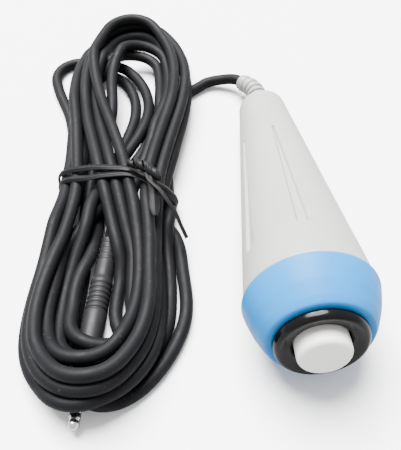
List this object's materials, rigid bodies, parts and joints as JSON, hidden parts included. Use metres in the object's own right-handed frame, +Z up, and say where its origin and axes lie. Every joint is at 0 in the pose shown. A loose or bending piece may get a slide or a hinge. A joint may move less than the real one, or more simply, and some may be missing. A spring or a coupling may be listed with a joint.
{
  "type": "corded hand switch",
  "caption": "Pear-shaped hand-held push-button switch: tapered grey handle with grip flutes, soft blue collar, white button, and a black cable tied in a hank with a jack plug.",
  "frame": {"origin": "bottom centre of the handle's box, from the button's front to the strain relief's tip, on the surface the handle lies on; the free cable, its hank, tie and plug are left out", "axes": "+Z up, +Y along the handle towards the cable end, the button faces -Y, +X to the right seen from the button end with the button towards the viewer; the handle's own axis is tilted 6.71 degrees so that it lies on its collar and tail"},
  "size_m": [0.1086, 0.1939, 0.0417],
  "materials": {
    "grey_plastic": "fine satin moulded plastic, light grey",
    "blue_elastomer": "satin soft elastomer, sky blue",
    "black_gloss": "polished black moulding",
    "white_button": "satin off-white plastic",
    "cable_jacket": "satin black flexible cable jacket",
    "plug_plastic": "satin black moulded plug body",
    "plug_nickel": "polished nickel plate",
    "grey_relief": "soft light grey strain relief",
    "tie_plastic": "thin black plastic-coated wire tie",
    "black_rubber": "matt black rubber or phenolic",
    "steel": "plated steel",
    "spring_steel": "drawn spring wire",
    "brass": "stamped brass",
    "wire_red": "red wire insulation",
    "wire_black": "black wire insulation"
  },
  "bodies": {
    "handle": {"handle_shell": "grey_plastic", "collar": "blue_elastomer", "switch_body": "black_gloss", "bezel_gasket": "black_rubber", "lock_washer": "steel", "switch_nut": "steel", "return_spring": "spring_steel", "switch_base": "black_rubber", "terminal_a": "brass", "terminal_b": "brass", "wire_a": "wire_red", "wire_b": "wire_black", "heat_shrink_a": "black_rubber", "heat_shrink_b": "black_rubber", "cable_ferrule": "steel", "relief_flange": "grey_relief", "strain_relief": "grey_relief", "inner_cable": "cable_jacket", "cord_lead": "cable_jacket", "cord_hank": "cable_jacket", "plug_body": "plug_plastic", "plug_sleeve": "plug_nickel", "plug_insulator": "black_rubber", "plug_tip": "plug_nickel", "cord_tail": "cable_jacket", "twist_tie": "tie_plastic"},
    "button": {"button_cap": "white_button", "plunger_stem": "white_button", "contact_bridge": "brass", "stem_clip": "steel"}
  },
  "joints": [
    {"name": "button_press", "type": "slide", "parent": "handle", "child": "button", "axis": [0, 0.9932, -0.1168], "range_m": [0, 0.003], "stiffness_N_per_m": 900, "springref_m": -0.002, "deforming": ["return_spring"]}
  ]
}
